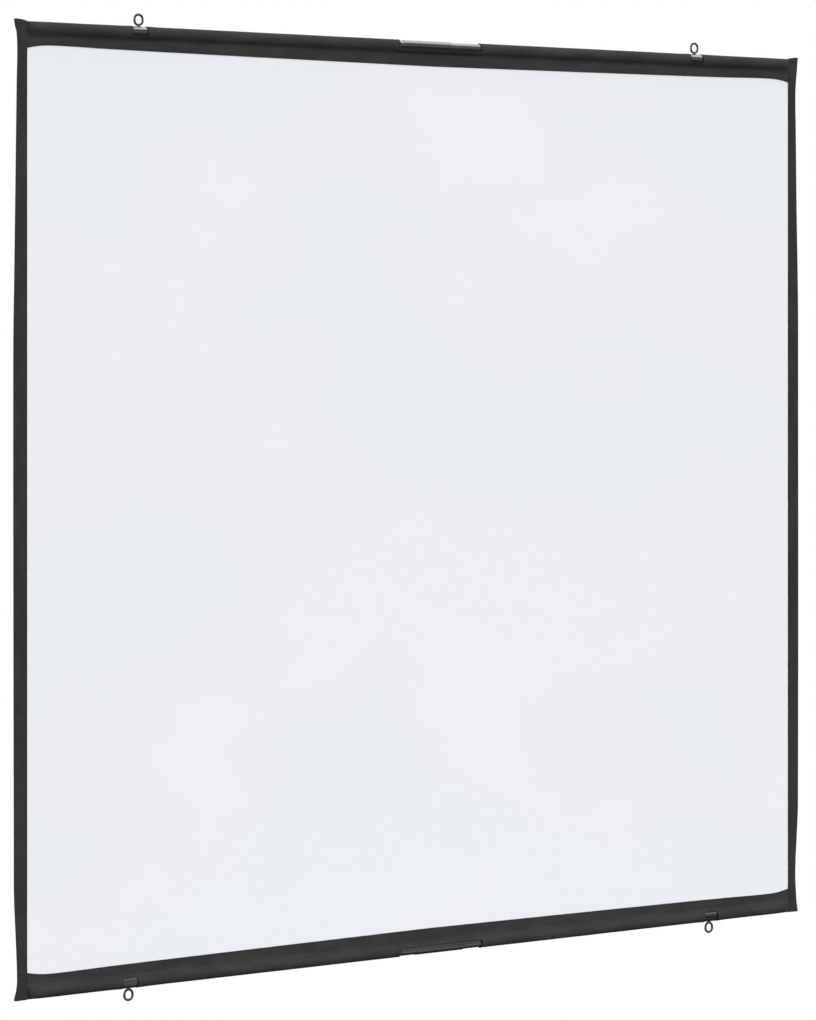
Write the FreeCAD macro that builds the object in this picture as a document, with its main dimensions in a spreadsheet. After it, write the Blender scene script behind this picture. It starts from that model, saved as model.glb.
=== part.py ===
import FreeCAD, Part
import math
import os
import Sketcher

# Wall-mounted projection screen: a white sheet between two tubes in sewn fabric sleeves.
# Frame: +X right seen from the front, front towards -Y, +Z up, millimetres.
# The origin lies on the line on which the wall hooks carry the two top eyes, in the middle of the sheet.

doc = FreeCAD.newDocument("projection_screen")
sheet = doc.addObject("Spreadsheet::Sheet", "Sizes")

driving = {
    "view_width": 1293,
    "view_height": 1293,
    "sheet_thick": 0.5,
    "fabric": 0.8,
    "tape": 0.6,
    "tube_outer": 16,
    "tube_wall": 1,
    "sleeve_ease": 0.25,
    "crease_drop": 9.2,
    "sheet_tuck": 1,
    "band_clear": 34,
    "band_middle": 38.2,
    "band_narrow": 32.1,
    "band_end": 36.5,
    "narrow_inset": 48.5,
    "round_inset": 36.5,
    "flat_inset": 0.5,
    "edge_reach": 12.5,
    "tip_rise": 2.8,
    "tip_drop": 0.3,
    "tip_width": 18.4,
    "neck_width": 14.1,
    "full_width": 20,
    "full_drop": 460,
    "full_rise": 150,
    "cut_left": 60,
    "cut_right": 78,
    "cut_drop": 3.5,
    "gutter_ease": 0.35,
    "window_width": 22.5,
    "window_drop": 4.5,
    "top_left_inset": 168.5,
    "top_right_inset": 179.5,
    "bottom_left_inset": 153,
    "bottom_right_inset": 152,
    "wire": 3.5,
    "eye_width": 12.3,
    "eye_height": 14.7,
    "seat_gap": 0.3,
    "shank": 5,
    "thread_ease": 0.05,
    "insert_outer": 9,
    "insert_pilot": 6.2,
    "insert_height": 4.5,
    "insert_top": 5.3,
    "saddle_thick": 1.3,
    "saddle_width": 20,
    "saddle_angle": 70,
    "rod_joint": 5.5,
    "rod_inset": 46.5,
    "plug_depth": 12,
    "plug_head": 2,
    "plug_edge": 0.7,
    "coupler_length": 81,
    "coupler_wall": 0.8,
    "coupler_ease": 0.05,
    "coupler_edge": 0.3,
    "top_coupler": -12.7,
    "bottom_coupler": 7.7,
}


class Size:
    """A number together with the sheet expression that it comes from."""

    def __init__(self, number, text):
        self.number = number
        self.text = text

    def __add__(self, other):
        other = size(other)
        return Size(self.number + other.number, f"({self.text} + {other.text})")

    def __sub__(self, other):
        other = size(other)
        return Size(self.number - other.number, f"({self.text} - {other.text})")

    def __rsub__(self, other):
        return size(other) - self

    def __mul__(self, other):
        other = size(other)
        return Size(self.number * other.number, f"({self.text} * {other.text})")

    def __truediv__(self, other):
        other = size(other)
        return Size(self.number / other.number, f"({self.text} / {other.text})")

    def __neg__(self):
        return size(0) - self

    __radd__ = __add__
    __rmul__ = __mul__


def size(value):
    return value if isinstance(value, Size) else Size(value, f"({value})")


def root_of(value):
    return Size(math.sqrt(value.number), f"sqrt({value.text})")


def sine_of(value):
    return Size(math.sin(math.radians(value.number)), f"sin({value.text} * 1deg)")


def cosine_of(value):
    return Size(math.cos(math.radians(value.number)), f"cos({value.text} * 1deg)")


given = {}
for row, (alias, number) in enumerate(driving.items(), 1):
    sheet.set(f"A{row}", alias)
    sheet.set(f"B{row}", str(number))
    sheet.setAlias(f"B{row}", alias)
    given[alias] = Size(number, f"Sizes.{alias}")
doc.recompute()


def bind(target, name, value):
    target.setExpression(name, size(value).text)


# Derived sizes

tube_r = given["tube_outer"] / 2
bore_r = tube_r - given["tube_wall"]
sleeve_in_r = tube_r + given["sleeve_ease"]
sleeve_out_r = sleeve_in_r + given["fabric"]
saddle_r = tube_r + given["saddle_thick"]
half_sheet = given["sheet_thick"] / 2
half_band = half_sheet + given["fabric"]
half_view = given["view_width"] / 2
axis_half = given["view_height"] / 2 + given["band_clear"] - sleeve_out_r
eye_seat = saddle_r + given["seat_gap"]
eye_middle = eye_seat + given["wire"] / 2 + given["eye_height"] / 2
hook_rise = eye_seat + given["eye_height"]
top_axis = -hook_rise
middle = top_axis - axis_half
bottom_axis = middle - axis_half
coupler_in_r = tube_r + given["coupler_ease"]
coupler_out_r = coupler_in_r + given["coupler_wall"]
gutter_in_r = coupler_out_r + given["gutter_ease"]
gutter_out_r = gutter_in_r + given["fabric"]
round_end = half_view - given["round_inset"]
flat_start = half_view - given["flat_inset"]
rod_half = half_view - given["rod_inset"]
cloth_end = half_view + given["edge_reach"]
fold_z = sleeve_out_r - given["tape"] - half_band
tip_reach = {1: sleeve_out_r + given["tip_rise"], -1: sleeve_out_r + given["tip_drop"]}


# Drawing helpers


def new_body(label, x=0, z=0):
    body = doc.addObject("PartDesign::Body", label)
    body.Label = label
    for axis, value in (("x", x), ("z", z)):
        bind(body, f"Placement.Base.{axis}", value)
    return body


def new_sketch(body, role, offset=0):
    sketch = body.newObject("Sketcher::SketchObject", "Sketch")
    plane = next(feature for feature in body.Origin.OriginFeatures if feature.Role == role)
    sketch.AttachmentSupport = (plane, "")
    sketch.MapMode = "FlatFace"
    bind(sketch, "AttachmentOffset.Base.z", offset)
    return sketch


def fix_distance(sketch, kind, edge, end, value):
    if abs(value.number) < 1e-9:
        axis = -2 if kind == "DistanceX" else -1
        sketch.addConstraint(Sketcher.Constraint("PointOnObject", edge, end, axis))
        return
    index = sketch.addConstraint(Sketcher.Constraint(kind, -1, 1, edge, end, value.number))
    bind(sketch, f"Constraints[{index}]", value)


def fix_point(sketch, edge, end, place):
    fix_distance(sketch, "DistanceX", edge, end, size(place[0]))
    fix_distance(sketch, "DistanceY", edge, end, size(place[1]))


def draw_outline(sketch, points, arcs=None):
    """Closed outline; arcs gives the centre height and turn of each edge that is an arc."""
    arcs = arcs or {}
    spots = [FreeCAD.Vector(size(x).number, size(y).number, 0) for x, y in points]
    count = len(spots)
    first_end, last_end = {}, {}
    for i in range(count):
        start, stop = spots[i], spots[(i + 1) % count]
        first_end[i], last_end[i] = 1, 2
        if i not in arcs:
            sketch.addGeometry(Part.LineSegment(start, stop))
            continue
        height, turn = arcs[i]
        centre = FreeCAD.Vector(0, height.number, 0)
        angles = [math.atan2(p.y - centre.y, p.x - centre.x) for p in (start, stop)]
        if turn < 0:
            angles.reverse()
            first_end[i], last_end[i] = 2, 1
        circle = Part.Circle(centre, FreeCAD.Vector(0, 0, 1), start.distanceToPoint(centre))
        sketch.addGeometry(Part.ArcOfCircle(circle, angles[0], angles[1]))
    for i in range(count):
        following = (i + 1) % count
        ends = (i, last_end[i], following, first_end[following])
        sketch.addConstraint(Sketcher.Constraint("Coincident", *ends))
    for i, place in enumerate(points):
        before = (i - 1) % count
        edge, end = (i, 1) if i not in arcs else (before, 2)
        fix_point(sketch, edge, end, place)
    for i, (height, turn) in arcs.items():
        fix_distance(sketch, "DistanceY", i, 3, height)


def draw_circle(sketch, x, y, radius):
    spot = FreeCAD.Vector(size(x).number, size(y).number, 0)
    edge = sketch.addGeometry(Part.Circle(spot, FreeCAD.Vector(0, 0, 1), radius.number))
    fix_point(sketch, edge, 3, (x, y))
    index = sketch.addConstraint(Sketcher.Constraint("Radius", edge, radius.number))
    bind(sketch, f"Constraints[{index}]", radius)


def extrude(body, kind, sketch, length, symmetric=True, backwards=False):
    feature = body.newObject(f"PartDesign::{kind}", kind)
    feature.Profile = sketch
    feature.SideType = "Symmetric" if symmetric else "One side"
    feature.Reversed = backwards
    bind(feature, "Length", length)
    body.Tip = feature
    return feature


def cut_block(body, role, corners, depth):
    sketch = new_sketch(body, role)
    draw_outline(sketch, corners)
    return extrude(body, "Pocket", sketch, depth)


def turn_profile(body, points):
    """Solid of revolution about the body's own X axis."""
    sketch = new_sketch(body, "XZ_Plane")
    draw_outline(sketch, points)
    feature = body.newObject("PartDesign::Revolution", "Revolution")
    feature.Profile = sketch
    feature.ReferenceAxis = (sketch, ["H_Axis"])
    feature.Angle = 360
    body.Tip = feature
    return feature


def rectangle(left, right, low, high):
    return [(left, low), (right, low), (right, high), (left, high)]


# White sheet, held between the two layers of each sleeve and in the fold of each side tape

panel = new_body("screen_panel", 0, middle)
panel_half = axis_half - given["crease_drop"] - given["sheet_tuck"]
panel_sketch = new_sketch(panel, "XZ_Plane")
draw_outline(panel_sketch, rectangle(-cloth_end, cloth_end, -panel_half, panel_half))
extrude(panel, "Pad", panel_sketch, given["sheet_thick"])


# Sleeves: one strip folded round the tube and sewn together below it, pressed flat at both ends


def tunnel_points(up):
    """Section of the round tunnel: tangent walls run from the crease to the arc over the tube."""
    drop = given["crease_drop"]
    reach = half_sheet * half_sheet + drop * drop
    along = sleeve_in_r * sleeve_in_r / reach
    across = sleeve_in_r * root_of(reach - sleeve_in_r * sleeve_in_r) / reach
    in_y = half_sheet * along + drop * across
    in_z = half_sheet * across - drop * along
    grow = sleeve_out_r / sleeve_in_r
    out_y, out_z = in_y * grow, in_z * grow
    slope = (in_z + drop) / (in_y - half_sheet)
    crease_z = out_z - slope * (out_y - half_band)
    return section_points(up, (in_y, in_z), (out_y, out_z), crease_z)


def pressed_points(up):
    """Section of the pressed end: both layers lie flat, with a narrow fold at the top."""
    return section_points(up, (half_sheet, fold_z), (half_band, fold_z), -given["crease_drop"])


def section_points(up, inner, outer, crease_z):
    low = sleeve_out_r - given["band_middle"]
    drop = -given["crease_drop"]
    side = [
        (half_band, low),
        (half_band, crease_z),
        outer,
    ]
    back = [
        inner,
        (half_sheet, drop),
        (half_sheet, low),
    ]
    front_side = [(-y, z) for y, z in side]
    front_back = [(-y, z) for y, z in back]
    points = front_side + side[::-1] + back[::-1] + front_back
    return [(y, z * up) for y, z in points]


def gutter_points(up):
    """Section of the cloth left under the coupler, below the edge of the cut-out."""
    drop = given["cut_drop"]
    inner = root_of(gutter_in_r * gutter_in_r - drop * drop)
    outer = root_of(gutter_out_r * gutter_out_r - drop * drop)
    return [(y, -drop * up) for y in (-inner, -outer, outer, inner)]


def section_sketch(body, points, offset, height, up):
    sketch = new_sketch(body, "YZ_Plane", offset)
    draw_outline(sketch, points, {2: (height * up, -up), 8: (height * up, up)})
    return sketch


def make_sleeve(label, axis, up, eye_places):
    body = new_body(label, 0, axis)
    round_cut = {}
    pressed_cut = {}
    for side in (-1, 1):
        round_cut[side] = section_sketch(body, tunnel_points(up), round_end * side, size(0), up)
        flat_x = flat_start * side
        pressed_cut[side] = section_sketch(body, pressed_points(up), flat_x, fold_z, up)
    extrude(body, "Pad", round_cut[-1], round_end * 2, False)
    for side in (-1, 1):
        loft = body.newObject("PartDesign::AdditiveLoft", "Loft")
        loft.Profile = round_cut[side]
        loft.Sections = [pressed_cut[side]]
        loft.Ruled = True
        body.Tip = loft
        extrude(body, "Pad", pressed_cut[side], cloth_end - flat_start, False, side < 0)
    through = sleeve_out_r * 2 + 2
    narrow_x = half_view - given["narrow_inset"]
    edge_x = cloth_end + 2
    edge_z = sleeve_out_r - given["band_end"]
    narrow_z = sleeve_out_r - given["band_narrow"]
    middle_z = sleeve_out_r - given["band_middle"]
    below = middle_z - 10
    lower_edge = [
        (-edge_x, edge_z),
        (-flat_start, edge_z),
        (-narrow_x, narrow_z),
        (size(0), middle_z),
        (narrow_x, narrow_z),
        (flat_start, edge_z),
        (edge_x, edge_z),
        (edge_x, below),
        (-edge_x, below),
    ]
    cut_block(body, "XZ_Plane", [(x, z * up) for x, z in lower_edge], through)
    above = (tip_reach[up] + 4) * up
    gap = rectangle(-given["cut_left"], given["cut_right"], -gutter_in_r * up, above)
    cut_block(body, "XZ_Plane", gap, through)
    gutter = new_sketch(body, "YZ_Plane", -given["cut_left"])
    draw_outline(gutter, gutter_points(up), {1: (size(0), up), 3: (size(0), -up)})
    extrude(body, "Pad", gutter, given["cut_left"] + given["cut_right"], False)
    for place in eye_places:
        half_window = given["window_width"] / 2
        window = rectangle(place - half_window, place + half_window, -given["window_drop"] * up, above)
        cut_block(body, "XZ_Plane", window, through)
    return body


top_eyes = {
    "left": given["top_left_inset"] - half_view,
    "right": half_view - given["top_right_inset"],
}
bottom_eyes = {
    "left": given["bottom_left_inset"] - half_view,
    "right": half_view - given["bottom_right_inset"],
}
make_sleeve("top_sleeve", top_axis, 1, top_eyes.values())
make_sleeve("bottom_sleeve", bottom_axis, -1, bottom_eyes.values())


# Side tapes: folded over the sheet's edge, and over the pressed sleeve ends at the corners


def make_binding(label, side):
    body = new_body(label, 0, middle)
    inner = half_view * side
    tip = (half_view + given["tip_width"]) * side
    neck = (half_view + given["neck_width"]) * side
    full = (half_view + given["full_width"]) * side
    corner = axis_half + sleeve_out_r - given["band_end"]
    ends = {up: (axis_half + tip_reach[up]) * up for up in (-1, 1)}
    shoulder = axis_half + sleeve_out_r
    outline = [
        (inner, -shoulder),
        (tip, ends[-1]),
        (neck, -corner),
        (full, ends[-1] + given["full_rise"]),
        (full, ends[1] - given["full_drop"]),
        (neck, corner),
        (tip, ends[1]),
        (inner, shoulder),
    ]
    sketch = new_sketch(body, "XZ_Plane")
    draw_outline(sketch, outline)
    extrude(body, "Pad", sketch, (half_sheet + given["tape"]) * 2)
    for up in (-1, 1):
        end = [(inner, corner * up), (neck, corner * up), (tip, ends[up]), (inner, shoulder * up)]
        sketch = new_sketch(body, "XZ_Plane")
        draw_outline(sketch, end)
        extrude(body, "Pad", sketch, (half_band + given["tape"]) * 2)
    start = inner - 2 * side
    sheet_slot = rectangle(start, cloth_end * side, -corner, corner)
    cut_block(body, "XZ_Plane", sheet_slot, given["sheet_thick"])
    for up in (-1, 1):
        sleeve_slot = rectangle(start, cloth_end * side, corner * up, (shoulder - given["tape"]) * up)
        cut_block(body, "XZ_Plane", sleeve_slot, half_band * 2)
    return body


make_binding("left_binding", -1)
make_binding("right_binding", 1)


# Rods: two half tubes with plugged outer ends, joined by a sliding tube on the outside


def make_rod_half(label, axis, side, up, eye_place):
    body = new_body(label, -given["rod_joint"], axis)
    length = rod_half * side
    turn_profile(body, rectangle(size(0), length, bore_r, tube_r))
    sketch = new_sketch(body, "XY_Plane")
    draw_circle(sketch, eye_place + given["rod_joint"], 0, given["insert_pilot"] / 2)
    extrude(body, "Pocket", sketch, tube_r + 2, False, up > 0)
    return body


def make_plug(label, axis, side):
    place = rod_half * side - given["rod_joint"]
    body = new_body(label, place, axis)
    edge = given["plug_edge"]
    depth = -given["plug_depth"] * side
    head = given["plug_head"] * side
    profile = [
        (depth, size(0)),
        (depth, bore_r - edge),
        (depth + edge * side, bore_r),
        (size(0), bore_r),
        (size(0), tube_r),
        (head - edge * side, tube_r),
        (head, tube_r - edge),
        (head, size(0)),
    ]
    turn_profile(body, profile)
    return body


def make_coupler(label, axis, place):
    body = new_body(label, place, axis)
    half = given["coupler_length"] / 2
    edge = given["coupler_edge"]
    profile = [
        (-half, coupler_in_r),
        (-half, coupler_out_r - edge),
        (-half + edge, coupler_out_r),
        (half - edge, coupler_out_r),
        (half, coupler_out_r - edge),
        (half, coupler_in_r),
    ]
    turn_profile(body, profile)
    return body


# Eyes: an oval wire ring on a threaded shank, screwed into an insert through a curved saddle


def make_saddle(label, place, axis, up):
    body = new_body(label, place, axis)
    sketch = new_sketch(body, "YZ_Plane")
    across = sine_of(given["saddle_angle"])
    height = cosine_of(given["saddle_angle"]) * up
    points = [
        (-tube_r * across, tube_r * height),
        (-saddle_r * across, saddle_r * height),
        (saddle_r * across, saddle_r * height),
        (tube_r * across, tube_r * height),
    ]
    draw_outline(sketch, points, {1: (size(0), -up), 3: (size(0), up)})
    extrude(body, "Pad", sketch, given["saddle_width"])
    hole = new_sketch(body, "XY_Plane")
    draw_circle(hole, 0, 0, given["insert_pilot"] / 2)
    extrude(body, "Pocket", hole, saddle_r + 2, False, up > 0)
    return body


def make_insert(label, place, axis, up):
    body = new_body(label, place, axis)
    base = (given["insert_top"] - given["insert_height"]) * up
    sketch = new_sketch(body, "XY_Plane", base)
    draw_circle(sketch, 0, 0, given["insert_outer"] / 2)
    extrude(body, "Pad", sketch, given["insert_height"], False, up < 0)
    pilot = new_sketch(body, "XY_Plane", base)
    draw_circle(pilot, 0, 0, given["insert_pilot"] / 2)
    extrude(body, "Pad", pilot, saddle_r - given["insert_top"] + given["insert_height"], False, up < 0)
    bore = new_sketch(body, "XY_Plane", base)
    draw_circle(bore, 0, 0, given["shank"] / 2 + given["thread_ease"])
    extrude(body, "Pocket", bore, saddle_r + 2, False, up > 0)
    return body


def make_eye(label, place, axis, up):
    body = new_body(label, place, axis)
    bend = given["eye_width"] / 2
    straight = given["eye_height"] - given["eye_width"]
    wire_r = given["wire"] / 2
    for end in (1, -1):
        level = (eye_middle + straight / 2 * end) * up
        sketch = new_sketch(body, "XY_Plane", level)
        draw_circle(sketch, bend, 0, wire_r)
        arc = body.newObject("PartDesign::Revolution", "Revolution")
        arc.Profile = sketch
        arc.ReferenceAxis = (sketch, ["V_Axis"])
        arc.Angle = 180
        arc.Reversed = end * up > 0
        body.Tip = arc
    for side in (-1, 1):
        sketch = new_sketch(body, "XY_Plane", (eye_middle - straight / 2) * up)
        draw_circle(sketch, bend * side, 0, wire_r)
        extrude(body, "Pad", sketch, straight, False, up < 0)
    shank_low = given["insert_top"] - given["insert_height"] - 0.5
    sketch = new_sketch(body, "XY_Plane", shank_low * up)
    draw_circle(sketch, 0, 0, given["shank"] / 2)
    extrude(body, "Pad", sketch, eye_seat + wire_r - shank_low, False, up < 0)
    return body


levels = (
    ("top", top_axis, 1, top_eyes, given["top_coupler"]),
    ("bottom", bottom_axis, -1, bottom_eyes, given["bottom_coupler"]),
)
for level, axis, up, eyes, coupler_place in levels:
    make_coupler(f"{level}_coupler", axis, coupler_place)
    for hand, side in (("left", -1), ("right", 1)):
        make_rod_half(f"{level}_rod_{hand}", axis, side, up, eyes[hand])
        make_plug(f"{level}_{hand}_plug", axis, side)
        make_saddle(f"{level}_{hand}_saddle", eyes[hand], axis, up)
        make_insert(f"{level}_{hand}_insert", eyes[hand], axis, up)
        make_eye(f"{level}_{hand}_eye", eyes[hand], axis, up)


# Build, check and write one file per piece

doc.recompute()
for item in doc.Objects:
    if "Invalid" in item.State or "Error" in item.State:
        raise RuntimeError(f"{item.Name} in {item.State}")
os.makedirs("parts", exist_ok=True)
for body in doc.findObjects("PartDesign::Body"):
    shape = body.Shape
    if shape.isNull() or not shape.isValid() or len(shape.Solids) != 1:
        raise RuntimeError(f"{body.Label} has no single valid solid")
    shape.exportStep(f"parts/{body.Label}.step")
    print(body.Label, round(shape.Volume, 1), shape.BoundBox)
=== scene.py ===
import math

import bmesh
import bpy
from mathutils import Matrix, Vector, noise


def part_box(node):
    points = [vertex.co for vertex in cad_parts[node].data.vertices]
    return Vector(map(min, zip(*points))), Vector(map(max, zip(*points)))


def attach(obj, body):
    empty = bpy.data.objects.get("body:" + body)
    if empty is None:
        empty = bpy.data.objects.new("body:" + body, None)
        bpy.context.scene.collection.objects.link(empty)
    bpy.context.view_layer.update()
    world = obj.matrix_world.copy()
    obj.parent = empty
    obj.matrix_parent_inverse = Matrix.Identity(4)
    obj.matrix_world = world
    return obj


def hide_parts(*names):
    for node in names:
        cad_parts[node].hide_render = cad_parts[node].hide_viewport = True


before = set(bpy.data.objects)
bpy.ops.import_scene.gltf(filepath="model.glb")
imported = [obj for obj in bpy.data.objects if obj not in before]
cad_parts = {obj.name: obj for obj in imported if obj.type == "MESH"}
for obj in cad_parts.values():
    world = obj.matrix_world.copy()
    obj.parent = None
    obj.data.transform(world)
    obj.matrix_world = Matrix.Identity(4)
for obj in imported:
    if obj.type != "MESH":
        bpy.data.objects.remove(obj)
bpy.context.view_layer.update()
print("frame loaded,", len(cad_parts), "nodes")

mm = 0.001
scene = bpy.context.scene
scene.view_settings.view_transform = "Standard"


# places read from the frame

def middleOf(node):
    low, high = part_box(node)
    return (low + high) / 2


hands = {"left": -1, "right": 1}
levels = {
    "top": {"name": "top", "up": 1, "axis": middleOf("top_rod_left").z},
    "bottom": {"name": "bottom", "up": -1, "axis": middleOf("bottom_rod_left").z},
}
for levelName, level in levels.items():
    level["eyes"] = [middleOf(f"{levelName}_{hand}_eye").x for hand in hands]


# small sums

def blend(first, second, share):
    return first + (second - first) * share


def easeBetween(value, low, high):
    share = min(max((value - low) / (high - low), 0), 1)
    return share * share * (3 - 2 * share)


def slopeAt(points, index):
    before, after = max(index - 1, 0), min(index + 1, len(points) - 1)
    return (points[after][1] - points[before][1]) / (points[after][0] - points[before][0])


def curveThrough(points, place):
    # smooth line through (place, value) pairs, level beyond both ends
    if place <= points[0][0]:
        return points[0][1]
    for index in range(len(points) - 1):
        (startAt, start), (endAt, end) = points[index], points[index + 1]
        if place <= endAt:
            span = endAt - startAt
            t = (place - startAt) / span
            leave, arrive = slopeAt(points, index) * span, slopeAt(points, index + 1) * span
            rise = t * t * (3 - 2 * t)
            return blend(start, end, rise) + t * (1 - t) * ((1 - t) * leave - t * arrive)
    return points[-1][1]


# camera: level, shifted down as the photograph's upright edges are parallel

cameraSetup = {
    "place": (-2.17616, -3.92960, -0.42751),
    "turn": -28.499,
    "focalPixels": 3008.0,
    "centreColumn": 408.4,
    "horizonRow": 317.4,
    "frameWidth": 816,
    "frameHeight": 1020,
    "sensor": 36,
    "clip": (0.05, 100),
}


def addCamera(setup):
    data = bpy.data.cameras.new("photoCamera")
    camera = bpy.data.objects.new("photoCamera", data)
    scene.collection.objects.link(camera)
    camera.location = setup["place"]
    camera.rotation_euler = (math.radians(90), 0, math.radians(setup["turn"]))
    data.sensor_width = setup["sensor"]
    data.lens = setup["focalPixels"] / setup["frameHeight"] * setup["sensor"]
    data.shift_x = (setup["frameWidth"] / 2 - setup["centreColumn"]) / setup["frameHeight"]
    data.shift_y = (setup["horizonRow"] - setup["frameHeight"] / 2) / setup["frameHeight"]
    data.clip_start, data.clip_end = setup["clip"]
    scene.camera = camera


addCamera(cameraSetup)
print("camera set")


# shader sums

class Wire:
    # one output socket, so that shader sums read as plain sums

    def __init__(self, bench, socket):
        self.bench = bench
        self.socket = socket

    def other(self, name):
        return Wire(self.bench, self.socket.node.outputs[name])

    def __add__(self, value):
        return self.bench.maths("ADD", self, value)

    def __sub__(self, value):
        return self.bench.maths("SUBTRACT", self, value)

    def __rsub__(self, value):
        return self.bench.maths("SUBTRACT", value, self)

    def __mul__(self, value):
        return self.bench.maths("MULTIPLY", self, value)

    __radd__ = __add__
    __rmul__ = __mul__


class Bench:
    # adds nodes to one tree

    def __init__(self, tree):
        self.tree = tree
        tree.nodes.clear()

    def add(self, kind, settings=None, sockets=None, output=0):
        node = self.tree.nodes.new(kind)
        for name, value in (settings or {}).items():
            setattr(node, name, value)
        for name, value in (sockets or {}).items():
            if isinstance(value, Wire):
                self.tree.links.new(value.socket, node.inputs[name])
            else:
                node.inputs[name].default_value = value
        return Wire(self, node.outputs[output]) if node.outputs else None

    def maths(self, operation, first, second):
        return self.add("ShaderNodeMath", {"operation": operation}, {0: first, 1: second})

    def between(self, value, low, high):
        sockets = {"Value": value, "From Min": low, "From Max": high}
        return self.add("ShaderNodeMapRange", {"interpolation_type": "SMOOTHSTEP"}, sockets)

    def mixColour(self, share, first, second):
        return self.add("ShaderNodeMix", {"data_type": "RGBA"}, {0: share, 6: first, 7: second}, 2)

    def stretched(self, vector, scale):
        return self.add("ShaderNodeVectorMath", {"operation": "MULTIPLY"}, {0: vector, 1: scale})

    def grain(self, vector, scale, detail=2.0):
        place = self.stretched(vector, scale)
        return self.add("ShaderNodeTexNoise", {}, {"Vector": place, "Scale": 1.0, "Detail": detail})

    def bump(self, height, depth, strength):
        return self.add("ShaderNodeBump", {}, {"Height": height, "Distance": depth, "Strength": strength})


def newMaterial(name):
    material = bpy.data.materials.new(name)
    material.use_nodes = True
    return material, Bench(material.node_tree)


def closeMaterial(bench, sockets):
    shader = bench.add("ShaderNodeBsdfPrincipled", {}, sockets)
    bench.add("ShaderNodeOutputMaterial", {}, {"Surface": shader})


def grey(value, tint=(1, 1, 1)):
    return tuple(value * part for part in tint) + (1,)


# cloth: threads both ways, on the cloth's own flat map in metres

clothLooks = {
    "sheetCloth": {
        "cool": (0.830, 0.854, 0.895, 1), "warm": (0.858, 0.855, 0.895, 1), "threadGapShade": 0.985,
        "patch": (1.7, 2.6, 1), "thread": 1400, "run": 110, "rough": 0.82,
        "depth": 0.05 * mm, "bump": 0.25, "shine": 0.25,
    },
    "sleeveCloth": {
        "cool": grey(0.0375), "warm": grey(0.0460), "threadGapShade": 0.78,
        "patch": (14, 42, 1), "thread": 900, "run": 60, "rough": 0.80,
        "depth": 0.15 * mm, "bump": 0.45, "shine": 0.30,
    },
    "edgeTape": {
        "cool": grey(0.0340), "warm": grey(0.0400), "threadGapShade": 0.78,
        "patch": (42, 14, 1), "thread": 700, "run": 90, "rough": 0.78,
        "depth": 0.15 * mm, "bump": 0.45, "shine": 0.30,
    },
}
clothGrain = {
    "patchSpread": (0.40, 0.60),  # from the cool to the warm colour
    "weaveSpread": (0.36, 0.64),  # from the painted shade between the threads to their crowns
    "patchRough": 0.1,
    "weaveRough": 0.2,
}


def clothMaterial(name, look, grain):
    material, bench = newMaterial(name)
    flat = bench.add("ShaderNodeUVMap", {"uv_map": "flat"})
    warp = bench.grain(flat, (look["thread"], look["run"], 1), 1.0)
    weft = bench.grain(flat, (look["run"], look["thread"], 1), 1.0)
    weave = (warp + weft) * 0.5
    patches = bench.grain(flat, look["patch"], 3.0)  # uneven dye
    tint = bench.mixColour(bench.between(patches, *grain["patchSpread"]), look["cool"], look["warm"])
    # painted shade: the tint is darkened between the threads, where the weave is low
    shaded = bench.stretched(tint, (look["threadGapShade"],) * 3)
    rough = look["rough"] + (weave - 0.5) * grain["weaveRough"] + (patches - 0.5) * grain["patchRough"]
    closeMaterial(bench, {
        "Base Color": bench.mixColour(bench.between(weave, *grain["weaveSpread"]), shaded, tint),
        "Roughness": rough,
        "Specular IOR Level": look["shine"],
        "Normal": bench.bump(weave, look["depth"], look["bump"]),
    })
    return material


# thread: twist marks along each stitch

threadLook = {
    "dark": grey(0.010), "light": grey(0.026), "twist": 2600, "twistSpread": (0.35, 0.65),
    "rough": 0.6, "twistRough": 0.2, "depth": 0.1 * mm, "bump": 0.4, "shine": 0.35,
}


def threadMaterial(look):
    material, bench = newMaterial("sewingThread")
    place = bench.add("ShaderNodeTexCoord", output="Object")
    twist = bench.grain(place, (look["twist"],) * 3, 1.0)
    tone = bench.between(twist, *look["twistSpread"])
    closeMaterial(bench, {
        "Base Color": bench.mixColour(tone, look["dark"], look["light"]),
        "Roughness": look["rough"] + (twist - 0.5) * look["twistRough"],
        "Specular IOR Level": look["shine"],
        "Normal": bench.bump(twist, look["depth"], look["bump"]),
    })
    return material


# metal: fine lines along or round the piece, and duller handling marks

metalLooks = {
    "rodMetal": {
        "dark": grey(0.44), "light": grey(0.54),
        "lines": (6, 1500, 1500), "rough": 0.16, "marks": 0.10,
    },
    "couplerMetal": {
        "dark": grey(0.42), "light": grey(0.51),
        "lines": (900, 30, 30), "rough": 0.14, "marks": 0.08,
    },
    "saddleZinc": {
        "dark": (0.48, 0.485, 0.495, 1), "light": (0.57, 0.575, 0.58, 1),
        "lines": (300, 300, 300), "rough": 0.12, "marks": 0.10,
    },
    "eyeSteel": {
        "dark": grey(0.28), "light": grey(0.42),
        "lines": (500, 500, 90), "rough": 0.25, "marks": 0.12,
    },
    "insertNickel": {
        "dark": (0.40, 0.385, 0.355, 1), "light": (0.52, 0.505, 0.47, 1),
        "lines": (200, 200, 1800), "rough": 0.30, "marks": 0.10,
    },
}
metalGrain = {
    "markScale": (38, 90, 90),
    "lineShare": 0.55,            # the rest of the tone comes from the marks
    "toneSpread": (0.36, 0.64),
    "markSpread": (0.48, 0.72),
    "lineRough": 0.12,
    "depth": 0.02 * mm,
    "bump": 0.25,
}


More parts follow.
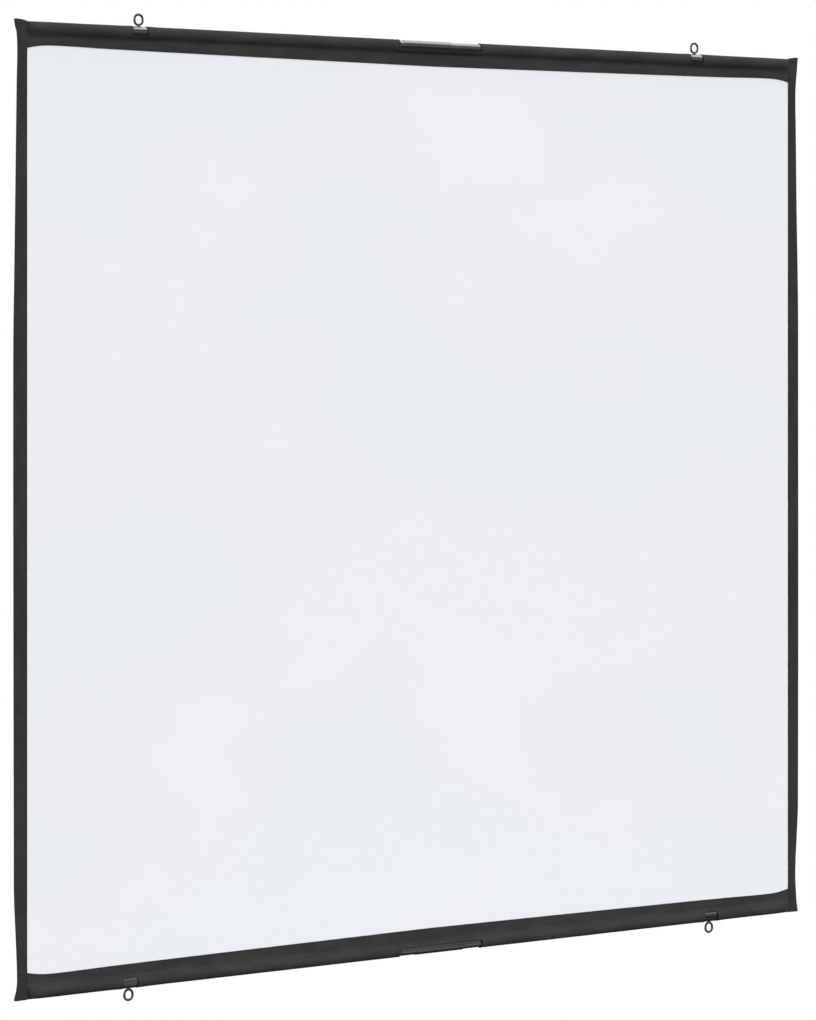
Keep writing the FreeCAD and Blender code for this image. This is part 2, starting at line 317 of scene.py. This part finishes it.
def metalMaterial(name, look, grain):
    material, bench = newMaterial(name)
    place = bench.add("ShaderNodeTexCoord", output="Object")
    lines = bench.grain(place, look["lines"], 2.0)
    marks = bench.grain(place, grain["markScale"], 4.0)
    mixed = lines * grain["lineShare"] + marks * (1 - grain["lineShare"])
    tone = bench.between(mixed, *grain["toneSpread"])
    worn = bench.between(marks, *grain["markSpread"])
    rough = look["rough"] + (lines - 0.5) * grain["lineRough"] + worn * look["marks"]
    closeMaterial(bench, {
        "Base Color": bench.mixColour(tone, look["dark"], look["light"]),
        "Metallic": 1.0,
        "Roughness": rough,
        "Normal": bench.bump(lines, grain["depth"], grain["bump"]),
    })
    return material


# moulded plastic: fine spark-eroded grain

plasticLook = {
    "dark": grey(0.020), "light": grey(0.036), "pits": 1500, "pitSpread": (0.3, 0.7),
    "rough": 0.48, "pitRough": 0.25, "depth": 0.05 * mm, "bump": 0.35,
}


def plasticMaterial(look):
    material, bench = newMaterial("plugPlastic")
    place = bench.add("ShaderNodeTexCoord", output="Object")
    pits = bench.grain(place, (look["pits"],) * 3, 2.0)
    tone = bench.between(pits, *look["pitSpread"])
    closeMaterial(bench, {
        "Base Color": bench.mixColour(tone, look["dark"], look["light"]),
        "Roughness": look["rough"] + (pits - 0.5) * look["pitRough"],
        "Normal": bench.bump(pits, look["depth"], look["bump"]),
    })
    return material


finishes = {name: clothMaterial(name, look, clothGrain) for name, look in clothLooks.items()}
finishes.update({name: metalMaterial(name, look, metalGrain) for name, look in metalLooks.items()})
finishes["sewingThread"] = threadMaterial(threadLook)
finishes["plugPlastic"] = plasticMaterial(plasticLook)
print("materials made:", len(finishes))


# cloth pieces start as a flat strip whose map stays with the folded cloth

def flatStrip(width, length, columns, rows):
    bm = bmesh.new()
    bmesh.ops.create_grid(bm, x_segments=columns, y_segments=rows, size=0.5)
    bmesh.ops.scale(bm, vec=(width, length, 1), verts=bm.verts)
    return bm


def slitAt(bm, place, across):
    geometry = bm.verts[:] + bm.edges[:] + bm.faces[:]
    bmesh.ops.bisect_plane(bm, geom=geometry, dist=1e-7, plane_co=place, plane_no=across)


def cutAway(bm, left, right, low, high):
    inside = []
    for face in bm.faces:
        x, y, z = face.calc_center_median()
        if left < x < right and low < y < high:
            inside.append(face)
    bmesh.ops.delete(bm, geom=inside, context="FACES")


def keepFlatMap(bm):
    layer = bm.loops.layers.uv.new("flat")
    for face in bm.faces:
        for loop in face.loops:
            loop[layer].uv = loop.vert.co.xy


def makePiece(bm, name, finish, thickness=0, sharpAngle=40):
    mesh = bpy.data.meshes.new(name)
    bm.to_mesh(mesh)
    bm.free()
    piece = bpy.data.objects.new(name, mesh)
    scene.collection.objects.link(piece)
    if thickness:
        wall = piece.modifiers.new("wall", "SOLIDIFY")
        wall.thickness, wall.offset = thickness, 0
        wall.use_even_offset = True
        bpy.context.view_layer.update()
        graph = bpy.context.evaluated_depsgraph_get()
        thick = bpy.data.meshes.new_from_object(piece.evaluated_get(graph))
        piece.modifiers.clear()
        piece.data = thick
        bpy.data.meshes.remove(mesh)
        thick.name = name
    piece.data.polygons.foreach_set("use_smooth", [True] * len(piece.data.polygons))
    piece.data.set_sharp_from_angle(angle=math.radians(sharpAngle))
    piece.data.materials.clear()
    piece.data.materials.append(finishes[finish])
    return piece


# white sheet

sheetSetup = {"thickness": 0.5 * mm, "columns": 80, "rows": 80, "flat": (1.318, 1.3225)}


def makeSheet(setup):
    low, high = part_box("screen_panel")
    bm = flatStrip(high.x - low.x, high.z - low.z, setup["columns"], setup["rows"])
    keepFlatMap(bm)
    bmesh.ops.rotate(bm, verts=bm.verts, matrix=Matrix.Rotation(math.radians(90), 3, "X"))
    bmesh.ops.translate(bm, verts=bm.verts, vec=(low + high) / 2)
    return makePiece(bm, "whiteSheet", "sheetCloth", setup["thickness"])


whiteSheet = makeSheet(sheetSetup)
print("white sheet made")


# rod sleeves: one strip folded over the rod and sewn to both faces of the sheet

sleeveSetup = {
    "cloth": 0.8 * mm,
    "loop": 8.65 * mm,        # middle of the cloth round the rod
    "top": 9.05 * mm,         # outline above the rod axis
    "crease": 9.43 * mm,      # below the rod axis
    "creaseAtEnds": 12 * mm,
    "creaseEase": (585 * mm, 640 * mm),
    "soften": 4 * mm,         # how far the bend at the crease spreads
    "softenEase": (0.45, 0.75),
    "layer": 0.65 * mm,       # middle of each layer from the middle of the sheet
    "bandRun": 20 * mm,       # strip length that becomes the band
    "bandMean": 17 * mm,      # its mean height on each face, for the flat size
    "flatLength": 1.318,
    "reach": 659 * mm,
    "press": (626 * mm, 648.5 * mm),
    "pinch": (642.5 * mm, 648.5 * mm),
    "pinchShare": 0.65,
    "fold": 8.0 * mm,         # height of the fold at the pressed ends
    "foldDip": 0.6 * mm,      # under the tape
    "dipEase": (641 * mm, 647 * mm),
    "cut": (-60 * mm, 78 * mm),
    "cutDrop": 3.5 * mm,
    "gutter": 9.6 * mm,       # cloth round the coupler
    "gutterFade": 0.6,
    "flare": 5 * mm,
    "window": 11.25 * mm,
    "windowDrop": {"top": 4.5 * mm, "bottom": 6.0 * mm},
    "slack": 0.35 * mm,
    "slackGrain": (24, 90, 3.7),  # along the rod, round it, from sleeve to sleeve
    "slackFade": 0.7,
    "swell": 0.4 * mm,        # cloth pulled up at the saddles
    "swellEase": (10 * mm, 34 * mm),
    "columns": 400,
    "crowding": 72,           # degrees, columns stand closer at the ends
    "rows": 56,
    # distance from the middle, depth of the band below the outline
    "edge": [
        (0, 37.7), (300, 35.7), (520, 33.8), (590, 32.5),
        (620, 32.9), (636, 35.0), (646, 37.0), (659, 37.2),
    ],
}


def creaseAt(setup, x):
    # the tunnel is sewn less tightly towards its ends
    return blend(setup["crease"], setup["creaseAtEnds"], easeBetween(abs(x), *setup["creaseEase"]))


def tangentPoint(setup, crease):
    # where the straight wall from the crease meets the round
    y, z, r = setup["layer"], -crease, setup["loop"]
    reach = y * y + z * z
    along, across = r * r / reach, r * math.sqrt(reach - r * r) / reach
    return y * along - z * across, y * across + z * along


def halfRun(setup, crease):
    y, z = tangentPoint(setup, crease)
    return setup["loop"] * math.atan2(y, z) + math.hypot(y - setup["layer"], z + crease)


def bandDepth(setup, x):
    return curveThrough(setup["edge"], abs(x) / mm) * mm


def runAtDrop(setup, drop):
    return setup["loop"] * math.acos(-drop / setup["loop"])


def sharpSection(setup, x, run):
    # round over the rod, straight to the crease, then down the flat band
    crease, whole = creaseAt(setup, x), halfRun(setup, setup["crease"])
    if run > whole:
        share = (run - whole) / setup["bandRun"]
        return setup["layer"], blend(-crease, setup["top"] - bandDepth(setup, x), share)
    run *= halfRun(setup, crease) / whole
    y, z = tangentPoint(setup, crease)
    arc = setup["loop"] * math.atan2(y, z)
    if run <= arc:
        return setup["loop"] * math.sin(run / setup["loop"]), setup["loop"] * math.cos(run / setup["loop"])
    share = (run - arc) / math.hypot(y - setup["layer"], z + crease)
    return blend(y, setup["layer"], share), blend(z, -crease, share)


def softSection(setup, x, run):
    # cloth bends gently at the crease: the mean of places on both sides
    whole = halfRun(setup, setup["crease"])
    start, full = setup["softenEase"]
    spread = setup["soften"] * easeBetween(run, whole * start, whole * full)
    side = 3  # places on each side
    places = [sharpSection(setup, x, run + spread * step / side) for step in range(-side, side + 1)]
    return sum(y for y, z in places) / len(places), sum(z for y, z in places) / len(places)


def pressedSection(setup, x, share):
    quarter = setup["layer"] * math.pi / 2
    fold = setup["fold"] - setup["foldDip"] * easeBetween(abs(x), *setup["dipEase"])
    run = share * (quarter + fold + creaseAt(setup, x))
    if run < quarter:
        angle = run / setup["layer"]
        return setup["layer"] * math.sin(angle), fold + setup["layer"] * math.cos(angle)
    return setup["layer"], fold - (run - quarter)


def sleevePoint(setup, level, x, strip):
    run, whole = abs(strip), halfRun(setup, setup["crease"])
    y, z = softSection(setup, x, run)
    radius = math.hypot(y, z)
    # loose cloth stands off the rod a little, unevenly
    alongRod, roundRod, apart = setup["slackGrain"]
    spot = Vector((x * alongRod, strip * roundRod, level["up"] * apart))
    lift = setup["slack"] * (0.5 + 0.5 * noise.noise(spot))
    fromEye = min(abs(x - eye) for eye in level["eyes"])
    lift += setup["swell"] * (1 - easeBetween(fromEye, *setup["swellEase"]))
    radius += lift * (1 - easeBetween(run, whole * setup["slackFade"], whole))
    # the cloth left under the cut-out goes round the wider coupler
    left, right = setup["cut"]
    first = runAtDrop(setup, setup["cutDrop"])
    share = 1 - easeBetween(max(left - x, x - right, 0), 0, setup["flare"])
    share *= easeBetween(run, first * setup["gutterFade"], first)
    radius = blend(radius, max(radius, setup["gutter"]), share)
    scale = radius / math.hypot(y, z)
    y, z = y * scale, z * scale
    if run <= whole:
        pinch = setup["pinchShare"]
        press = (1 - pinch) * easeBetween(abs(x), *setup["press"])
        press += pinch * easeBetween(abs(x), *setup["pinch"])
        flatY, flatZ = pressedSection(setup, x, run / whole)
        y, z = blend(y, flatY, press), blend(z, flatZ, press)
    return math.copysign(y, strip), z


def sleevePlace(setup, level, x, strip):
    y, z = sleevePoint(setup, level, x, strip)
    return Vector((x, y, level["axis"] + z * level["up"]))


def openingsOf(setup, level):
    # left, right and half the strip length of the cut-out and of the window at each eye
    openings = [(*setup["cut"], runAtDrop(setup, setup["cutDrop"]))]
    windowRun = runAtDrop(setup, setup["windowDrop"][level["name"]])
    for eye in level["eyes"]:
        openings.append((eye - setup["window"], eye + setup["window"], windowRun))
    return openings


def crowdColumns(bm, setup):
    turn = math.radians(setup["crowding"])
    for vert in bm.verts:
        vert.co.x = setup["reach"] * math.sin(vert.co.x / setup["reach"] * turn) / math.sin(turn)


def makeSleeve(levelName, setup):
    level = levels[levelName]
    whole = halfRun(setup, setup["crease"])
    bm = flatStrip(2 * setup["reach"], 2 * (whole + setup["bandRun"]), setup["columns"], setup["rows"])
    crowdColumns(bm, setup)
    for left, right, run in openingsOf(setup, level):
        for place in (left, right):
            slitAt(bm, (place, 0, 0), (1, 0, 0))
        for place in (-run, run):
            slitAt(bm, (0, place, 0), (0, 1, 0))
    for left, right, run in openingsOf(setup, level):
        cutAway(bm, left, right, -run, run)
    keepFlatMap(bm)
    for vert in bm.verts:
        vert.co = sleevePlace(setup, level, vert.co.x, vert.co.y)
    if level["up"] < 0:
        bmesh.ops.reverse_faces(bm, faces=bm.faces)
    return makePiece(bm, f"{levelName}Sleeve", "sleeveCloth", setup["cloth"])


sleeves = {name: makeSleeve(name, sleeveSetup) for name in levels}
print("sleeves made")


# side tapes: folded over the sheet's edge and over the pressed sleeve ends

tapeSetup = {
    "cloth": 0.6 * mm,
    "inner": 646.2 * mm,
    "tip": 664.9 * mm,
    "layer": 0.55 * mm,       # middle of each layer from the middle of the sheet
    "layerAtSleeve": 1.35 * mm,
    "taper": 7 * mm,
    "hem": (3.2 * mm, 4.8 * mm),  # where the thicker turned-in end steps down
    "hemRise": 0.3 * mm,
    "tipRise": {"top": 2.8 * mm, "bottom": 0.3 * mm},
    "tipBow": 2.3,            # above 1 the slanted end bows upwards
    "halfWidth": 20 * mm,
    "foldCut": 0.9 * mm,      # extra cuts beside the fold keep it round
    "columns": 20,
    "rows": 420,
    # depth below the top tip, outer edge from the middle; the two sides were not sewn quite alike
    "edge": {
        "left": [
            (0, 665.2), (5, 664.8), (11, 663.7), (17, 661.8), (40, 660.6),
            (90, 661.5), (330, 664.7), (470, 666.5), (1190, 665.7), (1225, 665.3),
            (1280, 662.8), (1335, 660.9), (1350, 662.3), (1360, 665), (1364, 665.2),
        ],
        "right": [
            (0, 665.4), (20, 663.8), (36, 662.1), (68, 661), (116, 661.9),
            (230, 663.3), (380, 666.1), (470, 666.5), (1190, 666.1), (1250, 663.3),
            (1283, 661.4), (1310, 661), (1347, 662.9), (1357, 664.5), (1364, 665.4),
        ],
    },
}


def tapeHeights(setup, x):
    # both ends of the tape slant from the shoulder at the sleeve up to the tip
    share = min((abs(x) - setup["inner"]) / (setup["tip"] - setup["inner"]), 1)
    share = 1 - (1 - share) ** setup["tipBow"]
    ends = {}
    for name, level in levels.items():
        rise = sleeveSetup["top"] + setup["tipRise"][name] * share - setup["cloth"] / 2
        ends[name] = level["axis"] + level["up"] * rise
    return ends["top"], ends["bottom"]


def tapeLayer(setup, along):
    # the tape lies on the sheet, steps up over both sleeves and is thicker at its turned-in ends
    high, low = tapeHeights(setup, setup["tip"])
    z = blend(high, low, along)
    bandEdge = sleeveSetup["top"] - bandDepth(sleeveSetup, setup["inner"])
    beyond = [level["up"] * (z - level["axis"]) for level in levels.values()]
    overSleeve = easeBetween(max(beyond), bandEdge - setup["taper"], bandEdge)
    fromEnd = min(along, 1 - along) * (high - low)
    hemmed = 1 - easeBetween(fromEnd, *setup["hem"])
    return blend(setup["layer"], setup["layerAtSleeve"], overSleeve) + setup["hemRise"] * hemmed


def tapePoint(setup, hand, along, strip):
    high, low = tapeHeights(setup, setup["tip"])
    outer = curveThrough(setup["edge"][hand], (high - low) * along / mm) * mm
    layer = tapeLayer(setup, along)
    centre = outer - setup["cloth"] / 2 - layer
    quarter = layer * math.pi / 2
    run = abs(strip) / setup["halfWidth"] * (quarter + centre - setup["inner"])
    if run < quarter:
        x, y = centre + layer * math.cos(run / layer), layer * math.sin(run / layer)
    else:
        x, y = centre - (run - quarter), layer
    high, low = tapeHeights(setup, x)
    return x, math.copysign(y, strip), blend(high, low, along)


def makeTape(hand, setup):
    side = hands[hand]
    high, low = tapeHeights(setup, setup["tip"])
    bm = flatStrip(2 * setup["halfWidth"], high - low, setup["columns"], setup["rows"])
    for face in (-1, 1):
        slitAt(bm, (face * setup["foldCut"], 0, 0), (1, 0, 0))
    for step in setup["hem"]:
        for end in (-1, 1):
            slitAt(bm, (0, end * ((high - low) / 2 - step), 0), (0, 1, 0))
    keepFlatMap(bm)
    ends = {1: [], -1: []}
    for vert in bm.verts:
        strip, height = vert.co.x, vert.co.y
        along = 0.5 - height / (high - low)
        if min(along, 1 - along) < 1e-6:
            ends[1 if along < 0.5 else -1].append(vert)
        x, y, z = tapePoint(setup, hand, along, strip)
        vert.co = (x * side, y, z)
    for end in ends.values():
        rim = [edge for edge in bm.edges if edge.is_boundary and all(vert in end for vert in edge.verts)]
        bmesh.ops.contextual_create(bm, geom=end + rim)
    bmesh.ops.recalc_face_normals(bm, faces=bm.faces)
    return makePiece(bm, f"{hand}Tape", "edgeTape", setup["cloth"])


tapes = {hand: makeTape(hand, tapeSetup) for hand in hands}
print("side tapes made")


# stitches: rows of short loops of thread, half sunk in the cloth, laid out flat and folded with it

stitchSetup = {
    "seam": {"size": (2.9 * mm, 0.5 * mm, 0.4 * mm), "pitch": 3.8 * mm},
    "overcast": {"size": (0.75 * mm, 2.0 * mm, 0.5 * mm), "pitch": 1.3 * mm, "inset": 0.8 * mm},
    "fromEdge": 3.2 * mm, "fromCrease": 3.0 * mm,
    "fromTapeEdge": 2.6 * mm, "fromFold": 4 * mm, "fromTip": 6 * mm, "fromTapeEnd": 6.8 * mm,
    "probe": 0.5 * mm,        # step on the cloth that gives a stitch its direction
    "segments": (6, 4),
    "sharpAngle": 80,
}


def stitchFrame(place, middle, lift):
    spot, probe = place(middle.x, middle.y), stitchSetup["probe"]
    along = (place(middle.x + probe, middle.y) - spot).normalized()
    aside = (place(middle.x, middle.y + probe) - spot).normalized()
    outward = along.cross(aside).normalized()
    if outward.y * spot.y < 0:
        outward.negate()
    turn = Matrix((along, outward.cross(along), outward)).transposed().to_4x4()
    return Matrix.Translation(spot + outward * lift) @ turn


def sewRow(bm, place, size, start, step, count, lift):
    start, step = Vector((*start, 0)), Vector((*step, 0))
    row = bmesh.new()
    around, upright = stitchSetup["segments"]
    bmesh.ops.create_uvsphere(row, u_segments=around, v_segments=upright, radius=0.5)
    bmesh.ops.scale(row, vec=size, verts=row.verts)
    bmesh.ops.translate(row, vec=start, verts=row.verts)
    stitch = row.verts[:] + row.edges[:] + row.faces[:]
    bmesh.ops.spin(row, geom=stitch, cent=start, axis=(0, 0, 1), dvec=step, angle=0, steps=count - 1,
                   use_duplicate=True)
    frames = {}
    for vert in row.verts:
        index = round((vert.co - start).dot(step) / step.length_squared)
        middle = start + step * index
        if index not in frames:
            frames[index] = stitchFrame(place, middle, lift)
        vert.co = frames[index] @ (vert.co - middle)
    mesh = bpy.data.meshes.new("row")
    row.to_mesh(mesh)
    row.free()
    bm.from_mesh(mesh)
    bpy.data.meshes.remove(mesh)


def sleeveStitches(levelName, setup):
    level, sleeve = levels[levelName], sleeveSetup
    whole, lift = halfRun(sleeve, sleeve["crease"]), sleeve["cloth"] / 2
    seam, over = setup["seam"], setup["overcast"]
    bm = bmesh.new()

    def place(x, strip):
        return sleevePlace(sleeve, level, x, strip)

    count = int(2 * tapeSetup["inner"] / seam["pitch"])
    first = -(count - 1) / 2 * seam["pitch"]
    for run in (whole + setup["fromCrease"], whole + sleeve["bandRun"] - setup["fromEdge"]):
        for face in (-1, 1):
            sewRow(bm, place, seam["size"], (first, run * face), (seam["pitch"], 0), count, lift)
    width, length, height = over["size"]
    for left, right, run in openingsOf(sleeve, level):
        alongRod, roundRod = int((right - left) / over["pitch"]), int(2 * run / over["pitch"])
        for face in (-1, 1):
            start = (left + over["pitch"] / 2, face * (run + over["inset"]))
            sewRow(bm, place, (width, length, height), start, (over["pitch"], 0), alongRod, lift)
        for edge in (left - over["inset"], right + over["inset"]):
            start = (edge, over["pitch"] / 2 - run)
            sewRow(bm, place, (length, width, height), start, (0, over["pitch"]), roundRod, lift)
    bmesh.ops.recalc_face_normals(bm, faces=bm.faces)
    return makePiece(bm, f"{levelName}SleeveStitches", "sewingThread", sharpAngle=setup["sharpAngle"])


def tapeStitches(hand, setup):
    tape, seam = tapeSetup, setup["seam"]
    high, low = tapeHeights(tape, tape["tip"])
    lift, pitch = tape["cloth"] / 2, seam["pitch"]
    length, width, height = seam["size"]
    bm = bmesh.new()

    def place(strip, rise):
        x, y, z = tapePoint(tape, hand, 0.5 - rise / (high - low), strip)
        return Vector((x * hands[hand], y, z))

    count = int((high - low - 2 * setup["fromTip"]) / pitch)
    across = int((tape["halfWidth"] - setup["fromTapeEdge"] - setup["fromFold"]) / pitch) + 1
    for face in (-1, 1):
        start = (face * (tape["halfWidth"] - setup["fromTapeEdge"]), (count - 1) / 2 * pitch)
        sewRow(bm, place, (width, length, height), start, (0, -pitch), count, lift)
        for end in (-1, 1):
            start = (face * setup["fromFold"], end * ((high - low) / 2 - setup["fromTapeEnd"]))
            sewRow(bm, place, (length, width, height), start, (pitch * face, 0), across, lift)
    bmesh.ops.recalc_face_normals(bm, faces=bm.faces)
    return makePiece(bm, f"{hand}TapeStitches", "sewingThread", sharpAngle=setup["sharpAngle"])


sleeveThreads = {name: sleeveStitches(name, stitchSetup) for name in levels}
tapeThreads = {hand: tapeStitches(hand, stitchSetup) for hand in hands}
print("stitches made")


# metal and plastic pieces keep their frame shapes

nodeFinishes = {
    "rodMetal": [f"{name}_rod_{hand}" for name in levels for hand in hands],
    "couplerMetal": [f"{name}_coupler" for name in levels],
    "saddleZinc": [f"{name}_{hand}_saddle" for name in levels for hand in hands],
    "eyeSteel": [f"{name}_{hand}_eye" for name in levels for hand in hands],
    "insertNickel": [f"{name}_{hand}_insert" for name in levels for hand in hands],
    "plugPlastic": [f"{name}_{hand}_plug" for name in levels for hand in hands],
}
for finish, names in nodeFinishes.items():
    for name in names:
        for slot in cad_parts[name].material_slots:
            slot.material = finishes[finish]
print("frame pieces finished")


# what rides on what

def settle(piece, node=None):
    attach(piece, "screen")
    if node:
        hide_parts(node)


settle(whiteSheet, "screen_panel")
for name in levels:
    settle(sleeves[name], f"{name}_sleeve")
    settle(sleeveThreads[name])
for hand in hands:
    settle(tapes[hand], f"{hand}_binding")
    settle(tapeThreads[hand])

# sizes that the cloth was cut to
girth = 2 * (halfRun(sleeveSetup, sleeveSetup["crease"]) + sleeveSetup["bandMean"])
tapeTop, tapeBottom = tapeHeights(tapeSetup, tapeSetup["tip"])
tapeFlat = (2 * tapeSetup["halfWidth"], tapeTop - tapeBottom)


# stage: pale floor, white backdrop, soft key and fill, strips of light above and low in front

stageSetup = {
    "floorLevel": -4.5, "floorSize": 71, "floorTone": 0.10, "floorInMetal": 0.03,
    # what cloth and metal see of the studio: the front is dim, the backdrop and the ceiling are light
    "diffuse": {
        "front": 0.29, "band": 0,
        "back": 1.0, "backEase": (-0.1, 0.5),
        "high": 0.9, "highEase": (0.5, 1.0),
    },
    "glossy": {
        "front": 0.085, "band": 0.08,
        "back": 1.0, "backEase": (-0.6, -0.2),
        "high": 0.3, "highEase": (0.7, 1.0),
    },
    "bandRise": (0.05, 0.25),
    "bandFall": (0.50, 0.66),
    "key": {"strength": 2.35, "height": 26, "side": 24, "spread": 30},
    "fill": {"strength": 0.56, "height": 2, "side": -12, "spread": 60},
    "rear": {"strength": 1.25, "height": 10, "side": 170, "spread": 60},
    "ceiling": {"strength": 1.6, "place": (0, -0.07, 0.55), "tilt": 0, "size": (1.7, 0.15)},
    "ground": {"strength": 0.6, "place": (0, -0.7, -1.8), "tilt": 135, "size": (1.7, 0.9), "inMetal": True},
}


def makeFloor(setup):
    bm = bmesh.new()
    bmesh.ops.create_grid(bm, x_segments=1, y_segments=1, size=setup["floorSize"] / 2)
    bmesh.ops.translate(bm, verts=bm.verts, vec=(0, 0, setup["floorLevel"]))
    mesh = bpy.data.meshes.new("floor")
    bm.to_mesh(mesh)
    bm.free()
    floor = bpy.data.objects.new("floor", mesh)
    scene.collection.objects.link(floor)
    material, bench = newMaterial("paleFloor")
    rays = bench.add("ShaderNodeLightPath", output="Is Camera Ray")
    inMetal = rays.other("Is Glossy Ray")
    tone = bench.mixColour(inMetal, grey(setup["floorTone"]), grey(setup["floorInMetal"]))
    shaded = bench.add("ShaderNodeBsdfDiffuse", {}, {"Color": tone})
    plain = bench.add("ShaderNodeEmission", {}, {"Color": grey(1), "Strength": 1})
    surface = bench.add("ShaderNodeMixShader", {}, {0: rays, 1: shaded, 2: plain})
    bench.add("ShaderNodeOutputMaterial", {}, {"Surface": surface})
    mesh.materials.append(material)


def makeWorld(setup):
    world = bpy.data.worlds.new("studio")
    scene.world = world
    world.use_nodes = True
    bench = Bench(world.node_tree)
    way = bench.add("ShaderNodeTexCoord", output="Generated")
    sides = bench.add("ShaderNodeSeparateXYZ", {}, {0: way})
    upwards = sides.other("Z")
    band = bench.between(upwards, *setup["bandRise"]) - bench.between(upwards, *setup["bandFall"])
    seen = {}
    for kind in ("diffuse", "glossy"):
        look = setup[kind]
        front = look["front"] + band * look["band"]
        high = bench.between(upwards, *look["highEase"])
        front = front + high * (look["high"] - front)
        back = bench.between(sides.other("Y"), *look["backEase"])
        seen[kind] = front + back * (look["back"] - front)
    rays = bench.add("ShaderNodeLightPath", output="Is Camera Ray")
    light = seen["diffuse"] + rays.other("Is Glossy Ray") * (seen["glossy"] - seen["diffuse"])
    white = bench.maths("MAXIMUM", rays, rays.other("Is Transmission Ray"))
    studio = bench.add("ShaderNodeBackground", {}, {"Color": grey(1), "Strength": light})
    plain = bench.add("ShaderNodeBackground", {}, {"Color": grey(1), "Strength": 1})
    surface = bench.add("ShaderNodeMixShader", {}, {0: white, 1: studio, 2: plain})
    bench.add("ShaderNodeOutputWorld", {}, {"Surface": surface})


def addLamp(name, kind, setup):
    data = bpy.data.lights.new(name, kind)
    data.energy = setup["strength"]
    lamp = bpy.data.objects.new(name, data)
    scene.collection.objects.link(lamp)
    lamp.visible_camera = False
    lamp.visible_glossy = setup.get("inMetal", False)
    return lamp


def addSun(name, setup):
    lamp = addLamp(name, "SUN", setup)
    lamp.data.angle = math.radians(setup["spread"])
    lamp.rotation_euler = (math.radians(90 - setup["height"]), 0, math.radians(setup["side"]))


def addStrip(name, setup):
    lamp = addLamp(name, "AREA", setup)
    lamp.data.shape = "RECTANGLE"
    lamp.data.size, lamp.data.size_y = setup["size"]
    lamp.location = setup["place"]
    lamp.rotation_euler = (math.radians(setup["tilt"]), 0, 0)


makeFloor(stageSetup)
makeWorld(stageSetup)
addSun("key", stageSetup["key"])
addSun("fill", stageSetup["fill"])
addSun("rear", stageSetup["rear"])
addStrip("ceiling", stageSetup["ceiling"])
addStrip("ground", stageSetup["ground"])
print("stage set")
